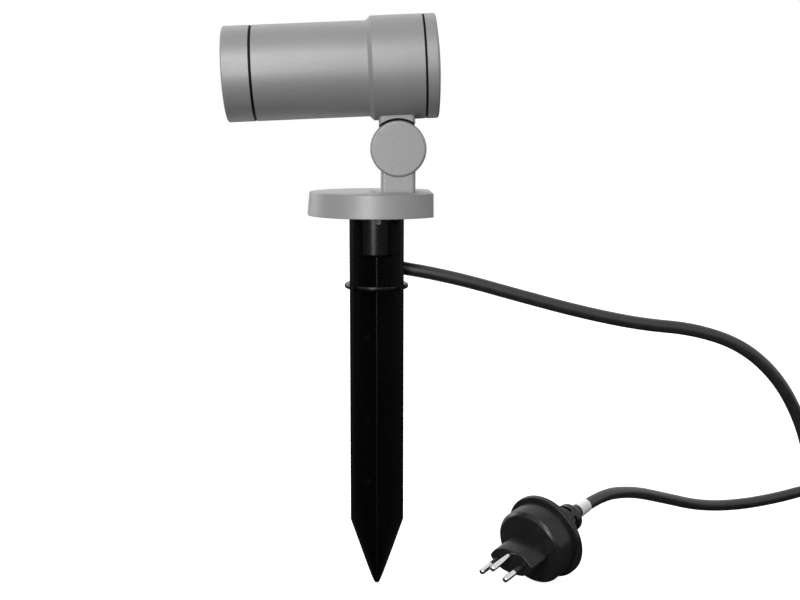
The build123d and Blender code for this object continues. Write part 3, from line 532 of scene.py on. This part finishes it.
def add_nose():
    """The nose that goes into the socket: a long hexagon with a crowned top and rounded corners."""
    put_down()
    bpy.ops.mesh.primitive_plane_add(size=1.0, location=(0.0, 0.0, DRUM_FACE - NOSE_SINK))
    nose = bpy.context.object
    nose.scale = (2 * NOSE_CORNER.x, 2 * NOSE_CORNER.y, 1.0)
    bpy.ops.object.transform_apply(location=True, scale=True)
    edit(nose)
    sides = [
        (Vector((1.0, 0.0, 0.0)), NOSE_CORNER.x, NOSE_TIP),
        (Vector((-1.0, 0.0, 0.0)), NOSE_CORNER.x, NOSE_TIP),
        (Vector((0.0, 1.0, 0.0)), NOSE_CORNER.y, NOSE_CROWN),
        (Vector((0.0, -1.0, 0.0)), NOSE_CORNER.y, NOSE_CROWN),
    ]
    for way, start, reach in sides:
        pick(nose, "EDGE", lambda edge: all(near(corner.co.dot(way), start) for corner in edge.verts))
        bpy.ops.mesh.subdivide(number_cuts=1)
        across = Vector((way.y, way.x, 0.0))
        pick(nose, "VERT", lambda corner: corner.co.dot(way) > NEAR and near(corner.co.dot(across), 0.0))
        bpy.ops.transform.translate(value=way * (reach - start))
    pick(nose, "VERT", lambda corner: abs(corner.co.x) > NEAR and near(corner.co.y, 0.0))
    bpy.ops.mesh.bevel(offset=NOSE_TIP_ROUND, segments=NOSE_TIP_SEGMENTS, affect="VERTICES")
    signs = (-1, 1)
    spots = [Vector((side * NOSE_CORNER.x, rise * NOSE_CORNER.y)) for side in signs for rise in signs]
    spots += [Vector((0.0, rise * NOSE_CROWN)) for rise in signs]
    pick(nose, "VERT", lambda corner: any((corner.co.xy - spot).length < NEAR for spot in spots))
    bpy.ops.mesh.bevel(offset=NOSE_CORNER_ROUND, segments=NOSE_CORNER_SEGMENTS, affect="VERTICES")
    pick(nose, "FACE", lambda face: True)
    length = NOSE_FACE - DRUM_FACE + NOSE_SINK
    bpy.ops.mesh.extrude_region_move(TRANSFORM_OT_translate={"value": (0.0, 0.0, length)})
    pick(nose, "EDGE", at_height(NOSE_FACE))
    bpy.ops.mesh.bevel(offset=NOSE_EDGE, segments=NOSE_EDGE_SEGMENTS, affect="EDGES")
    bpy.ops.object.mode_set(mode="OBJECT")
    return nose


def add_pin_cutter():
    """Cuts a pin's hole and the round groove about it."""
    put_down()
    bpy.ops.mesh.primitive_torus_add(
        major_radius=GROOVE_RADIUS,
        minor_radius=GROOVE_DEPTH,
        major_segments=GROOVE_SIDES,
        minor_segments=GROOVE_ARC_SIDES,
    )
    groove = bpy.context.object
    return join(groove, add_disc(PIN_HOLE_RADIUS, PIN_HOLE_SIDES, -PIN_ROOT, PIN_ROOT))


def make_plug_shell():
    """The plug's drum and nose, in the place where the plug lies."""
    shell = add_drum()
    combine(shell, add_nose(), "UNION")
    cutters = copies_at(add_pin_cutter(), [Vector((x, y, NOSE_FACE)) for x, y in PIN_PLACES])
    combine(shell, cutters, "DIFFERENCE")
    backward = Vector((math.cos(PLUG_AZIMUTH), math.sin(PLUG_AZIMUTH), math.tan(PLUG_DIP)))
    across = Vector((math.sin(PLUG_AZIMUTH), -math.cos(PLUG_AZIMUTH), 0.0))
    place = frame_at(PLUG_PLACE, across, -backward.normalized())
    return finish_piece(shell, "plug_shell", PLUG_BLACK, place)


def make_neck_thread():
    """The thread on the casing's neck, which shows as the front ring is unscrewed."""
    put_down()
    bpy.ops.mesh.primitive_plane_add(size=1.0, rotation=(math.pi / 2, 0.0, 0.0))
    thread = bpy.context.object
    thread.scale = (THREAD_HEIGHT, THREAD_FOOT, 1.0)
    thread.location = (NECK_RADIUS - THREAD_SINK + THREAD_HEIGHT / 2, 0.0, NECK_REAR + THREAD_FOOT / 2)
    bpy.ops.object.transform_apply(location=True, rotation=True, scale=True)
    edit(thread)
    pick(thread, "FACE", lambda face: True)
    bpy.ops.mesh.delete(type="ONLY_FACE")
    pick(thread, "VERT", lambda corner: corner.co.x > NECK_RADIUS)
    crest = Vector((NECK_RADIUS, 0.0, NECK_REAR + THREAD_FOOT / 2))
    bpy.ops.transform.resize(value=(1.0, 1.0, THREAD_CREST / THREAD_FOOT), center_override=crest)
    bpy.ops.object.mode_set(mode="OBJECT")
    turns = (NECK_FRONT - NECK_REAR - THREAD_FOOT) / THREAD_PITCH
    sweep = thread.modifiers.new("sweep", "SCREW")
    sweep.axis = "Z"
    sweep.angle = 2 * math.pi * turns
    sweep.screw_offset = THREAD_PITCH * turns
    sweep.steps = round(THREAD_STEPS_PER_TURN * turns)
    sweep.render_steps = sweep.steps
    bpy.ops.object.modifier_apply(modifier=sweep.name)
    edit(thread)
    bpy.ops.mesh.select_mode(type="EDGE")
    bpy.ops.mesh.select_all(action="DESELECT")
    bpy.ops.mesh.select_non_manifold()
    bpy.ops.mesh.fill_holes(sides=THREAD_CORNERS)
    bpy.ops.object.mode_set(mode="OBJECT")
    return finish_piece(thread, "neck_thread", ALUMINIUM, head_place())


def add_dome():
    """One small dome of the lens, cut from a ball and sunk a little into the lens."""
    put_down()
    ball = (DOME_RADIUS**2 + DOME_RISE**2) / (2 * DOME_RISE)
    centre = (0.0, 0.0, LENS_FACE + DOME_RISE - ball)
    bpy.ops.mesh.primitive_uv_sphere_add(
        segments=DOME_SIDES, ring_count=DOME_RINGS, radius=ball, location=centre
    )
    dome = bpy.context.object
    bpy.ops.object.transform_apply(location=True)
    edit(dome)
    bpy.ops.mesh.select_all(action="SELECT")
    foot = (0.0, 0.0, LENS_FACE - DOME_SINK)
    bpy.ops.mesh.bisect(plane_co=foot, plane_no=(0.0, 0.0, 1.0), use_fill=True, clear_inner=True)
    bpy.ops.object.mode_set(mode="OBJECT")
    return dome


def dome_places():
    """Rows of domes, each set half a pitch from the next, as far as the lens's rim allows."""
    reach = LENS_RADIUS - DOME_MARGIN
    row_step = DOME_PITCH * math.sin(math.radians(60.0))
    rows, columns = math.ceil(reach / row_step), math.ceil(reach / DOME_PITCH)
    places = []
    for row in range(-rows, rows + 1):
        shift = DOME_PITCH / 2 if row % 2 else 0.0
        for column in range(-columns, columns + 1):
            place = Vector((column * DOME_PITCH + shift, row * row_step, 0.0))
            if place.length < reach:
                places.append(place)
    return places


def make_domed_lens():
    """The lamp's lens, with a front of many small domes."""
    lens = add_disc(LENS_RADIUS, LENS_SIDES, LENS_FACE - LENS_THICKNESS, LENS_FACE)
    edit(lens)
    pick(lens, "EDGE", at_height(LENS_FACE))
    bpy.ops.mesh.bevel(offset=LENS_EDGE, segments=LENS_EDGE_SEGMENTS, affect="EDGES")
    bpy.ops.object.mode_set(mode="OBJECT")
    combine(lens, copies_at(add_dome(), dome_places()), "UNION")
    return finish_piece(lens, "domed_lens", LENS_GLASS, head_place())


def make_ejector_marks():
    """The shallow round marks that ejector pins leave on the front left fin."""
    mark = add_disc(MARK_RADIUS, MARK_SIDES, -MARK_RISE, MARK_RISE)
    edit(mark)
    pick(mark, "FACE", at_height(MARK_RISE))
    bpy.ops.mesh.inset(thickness=MARK_RIM)
    bpy.ops.transform.translate(value=(0.0, 0.0, -MARK_DISH))
    bpy.ops.object.mode_set(mode="OBJECT")
    along = Vector((-1.0, -1.0, 0.0)).normalized()
    outward = Vector((1.0, -1.0, 0.0)).normalized()
    spot = along * MARK_REACH + outward * FIN_HALF_THICKNESS
    finish_piece(mark, "ejector_mark", MARK_BLACK, frame_at(spot, along, outward))
    marks = copies_at(mark, [Vector((0.0, 0.0, height)) for height in MARK_HEIGHTS])
    marks.name = "ejector_marks"
    return marks


plug_shell = make_plug_shell()
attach(plug_shell, "stand")
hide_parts("plug_body")

neck_thread = make_neck_thread()
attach(neck_thread, "head")

domed_lens = make_domed_lens()
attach(domed_lens, "head")
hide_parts("lamp_lens")

ejector_marks = make_ejector_marks()
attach(ejector_marks, "stand")


# Cord: one line from the gland, through the tied coil, to the plug's boot

SUPPLY_ROUTE = [
    (0.0, 0.0016, 0.2306),
    (0.0, 0.0016, 0.2251),
    (0.0030, 0.0034, 0.2164),
    (0.0103, 0.0041, 0.2112),
    (0.0201, 0.0039, 0.2091),
    (0.0336, 0.0032, 0.2069),
    (0.0587, 0.0026, 0.2013),
    (0.0950, 0.0024, 0.1910),
    (0.1344, 0.0024, 0.1805),
    (0.1720, 0.0024, 0.1727),
    (0.2066, 0.0024, 0.1696),
    (0.2390, 0.0030, 0.1586),
    (0.2645, 0.0056, 0.1366),
    (0.2825, 0.0100, 0.1075),
    (0.2940, 0.0160, 0.0765),
    (0.3055, 0.0240, 0.0465),
    (0.3235, 0.0330, 0.0205),
    (0.3500, 0.0395, 0.0053),
    (0.3780, 0.0395, 0.0053),
]
LEAD_ROUTE = [
    (0.3780, 0.1445, 0.0145),
    (0.3480, 0.1445, 0.0145),
    (0.3220, 0.1425, 0.0080),
    (0.2870, 0.1355, 0.0046),
    (0.2520, 0.1215, 0.0090),
    (0.2180, 0.1015, 0.0225),
    (0.1870, 0.0770, 0.0360),
    (0.1570, 0.0488, 0.0424),
    (0.1346, 0.0271, 0.0354),
]


def coil_points():
    """Control points of the coil: a turn in, a climb in the half turn where it reverses, a turn out."""
    lean_in = math.atan(COIL_PITCH / (2 * math.pi * COIL_RADIUS))
    start_angle = -math.pi / 2 - lean_in
    turns = COIL_TURNS + lean_in / math.pi
    climb_start = turns / 2 - COIL_CLIMB_TURNS / 2
    climb_end = turns / 2 + COIL_CLIMB_TURNS / 2
    count = round(turns * COIL_POINTS_PER_TURN)
    step = 2 * math.pi * turns / count
    # The line runs inside its control points, so they stand out from the coil by as much
    stand_out = 1 / (MIDDLE_SHARE + (1 - MIDDLE_SHARE) * math.cos(step))
    points = []
    for index in range(count):
        turn = turns * (index + 0.5) / count
        if turn <= climb_start:
            inward, climb = turn, 0.0
        elif turn >= climb_end:
            inward, climb = turns - turn, 1.0
        else:
            into = turn - climb_start
            inward = climb_start + into - into**2 / COIL_CLIMB_TURNS
            # The climb starts and ends level
            share = into / (climb_end - climb_start)
            climb = share**2 * (3 - 2 * share)
        radius = (COIL_RADIUS - COIL_PITCH * inward) * stand_out
        angle = start_angle + 2 * math.pi * turn
        offset = Vector((radius * math.cos(angle), radius * math.sin(angle), COIL_LAYER * climb))
        points.append(COIL_CENTRE + offset)
    return points


def make_cord():
    """The cord as a round line along its whole route."""
    line = bpy.data.curves.new("supply_cord_line", "CURVE")
    line.dimensions = "3D"
    spline = line.splines.new("NURBS")
    route = [Vector(point) for point in SUPPLY_ROUTE]
    route += coil_points()
    route += [Vector(point) for point in LEAD_ROUTE]
    spline.points.add(len(route) - 1)
    for control, place in zip(spline.points, route):
        control.co = (*place, 1.0)
    spline.order_u = LINE_ORDER
    spline.use_endpoint_u = True
    spline.resolution_u = LINE_STEPS
    line.bevel_depth = CORD_RADIUS
    line.bevel_resolution = SHEATH_STEPS
    line.use_fill_caps = True
    line.materials.append(SHEATH)
    cord = bpy.data.objects.new("rubber_cord", line)
    bpy.context.scene.collection.objects.link(cord)
    return cord


cord = make_cord()
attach(cord, "stand")
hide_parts("supply_cord", "cord_coil", "plug_lead")


# Camera, floor and light


def make_camera():
    put_down()
    bpy.ops.object.camera_add(location=CAMERA_PLACE)
    camera = bpy.context.object
    camera.name = "photo_camera"
    facing = Euler((math.radians(90.0 - CAMERA_DIP), 0.0, math.radians(CAMERA_YAW))).to_matrix()
    camera.rotation_euler = (facing @ Matrix.Rotation(math.radians(CAMERA_ROLL), 3, "Z")).to_euler()
    camera.data.sensor_fit = "HORIZONTAL"
    camera.data.sensor_width = FILM_WIDTH
    camera.data.lens = FOCAL_LENGTH
    bpy.context.scene.camera = camera


def seen_ray(tree, *kinds):
    """1 for the camera's own rays and those of the kinds named, and 0 for light on the object."""
    path = tree.nodes.new("ShaderNodeLightPath")
    value = path.outputs["Is Camera Ray"]
    for kind in kinds:
        either = tree.nodes.new("ShaderNodeMath")
        either.operation = "MAXIMUM"
        tree.links.new(value, either.inputs[0])
        tree.links.new(path.outputs[kind], either.inputs[1])
        value = either.outputs["Value"]
    return value


def make_floor():
    """A floor that is white where it is seen and throws little light up at the object."""
    put_down()
    bpy.ops.mesh.primitive_plane_add(size=FLOOR_SIZE)
    floor = bpy.context.object
    floor.name = "studio_floor"
    paper = bpy.data.materials.new("studio_paper")
    paper.use_nodes = True
    tree = paper.node_tree
    bounce = tree.nodes["Principled BSDF"]
    bounce.inputs["Base Color"].default_value = (*grey(FLOOR_BOUNCE), 1.0)
    bounce.inputs["Roughness"].default_value = FLOOR_ROUGHNESS
    bounce.inputs["Specular IOR Level"].default_value = 0.0
    pale = tree.nodes.new("ShaderNodeBsdfDiffuse")
    pale.inputs["Color"].default_value = (*grey(FLOOR_TONE), 1.0)
    glow = tree.nodes.new("ShaderNodeEmission")
    glow.inputs["Strength"].default_value = FLOOR_GLOW
    add = tree.nodes.new("ShaderNodeAddShader")
    tree.links.new(pale.outputs["BSDF"], add.inputs[0])
    tree.links.new(glow.outputs["Emission"], add.inputs[1])
    seen = tree.nodes.new("ShaderNodeMixShader")
    tree.links.new(seen_ray(tree, "Is Transmission Ray"), seen.inputs["Fac"])
    tree.links.new(bounce.outputs["BSDF"], seen.inputs[1])
    tree.links.new(add.outputs["Shader"], seen.inputs[2])
    tree.links.new(seen.outputs["Shader"], tree.nodes["Material Output"].inputs["Surface"])
    floor.data.materials.append(paper)


def make_card():
    """A white card that lies behind the lamp, for the pale line along the underside of the head."""
    put_down()
    bpy.ops.mesh.primitive_plane_add(size=1.0, location=CARD_PLACE)
    card = bpy.context.object
    card.name = "white_card"
    card.scale = CARD_SIZE
    bpy.ops.object.transform_apply(location=True, scale=True)
    paper = bpy.data.materials.new("card_paper")
    paper.use_nodes = True
    tree = paper.node_tree
    glow = tree.nodes.new("ShaderNodeEmission")
    glow.inputs["Strength"].default_value = CARD_GLOW
    tree.links.new(glow.outputs["Emission"], tree.nodes["Material Output"].inputs["Surface"])
    card.data.materials.append(paper)
    card.visible_camera = False
    card.visible_diffuse = False
    card.visible_transmission = False
    card.visible_shadow = False


def make_world():
    """A dim surround for the light on the object, and a white one where it is seen or mirrored."""
    world = bpy.data.worlds.new("studio_surround")
    bpy.context.scene.world = world
    world.use_nodes = True
    tree = world.node_tree
    soft = tree.nodes["Background"]
    white = tree.nodes.new("ShaderNodeBackground")
    for surround, strength in ((soft, SURROUND_LIGHT), (white, SURROUND_SEEN)):
        surround.inputs["Color"].default_value = (*grey(1.0), 1.0)
        surround.inputs["Strength"].default_value = strength
    shown = tree.nodes.new("ShaderNodeMixShader")
    tree.links.new(seen_ray(tree, "Is Glossy Ray", "Is Transmission Ray"), shown.inputs["Fac"])
    tree.links.new(soft.outputs["Background"], shown.inputs[1])
    tree.links.new(white.outputs["Background"], shown.inputs[2])
    tree.links.new(shown.outputs["Shader"], tree.nodes["World Output"].inputs["Surface"])


def add_softbox(name, azimuth, elevation, distance, size, power, mirrored=True):
    """A rectangular lamp that faces the object; azimuth counts to the right of the camera's side.

    One that isn't mirrored lights the surfaces and leaves no glare along their edges.
    """
    turn, lift = math.radians(azimuth), math.radians(elevation)
    away = Vector((math.sin(turn) * math.cos(lift), -math.cos(turn) * math.cos(lift), math.sin(lift)))
    put_down()
    bpy.ops.object.light_add(type="AREA", location=LIGHTS_AIM + away * distance)
    lamp = bpy.context.object
    lamp.name = name
    lamp.data.shape = "RECTANGLE"
    lamp.data.size, lamp.data.size_y = size
    lamp.data.energy = power
    lamp.rotation_euler = away.to_track_quat("Z", "Y").to_euler()
    lamp.visible_glossy = mirrored


make_camera()
make_floor()
make_card()
make_world()
add_softbox("key_softbox", azimuth=-15.0, elevation=35.0, distance=1.5, size=(0.40, 0.75), power=10.0)
add_softbox("low_softbox", azimuth=-16.0, elevation=4.0, distance=1.5, size=(0.30, 0.50), power=8.5)
add_softbox(
    "back_softbox",
    azimuth=-168.0,
    elevation=46.0,
    distance=1.6,
    size=(0.70, 0.70),
    power=27.0,
    mirrored=False,
)
add_softbox("left_softbox", azimuth=-125.0, elevation=8.0, distance=1.6, size=(0.50, 0.50), power=4.5)
bpy.context.scene.view_settings.view_transform = "Standard"
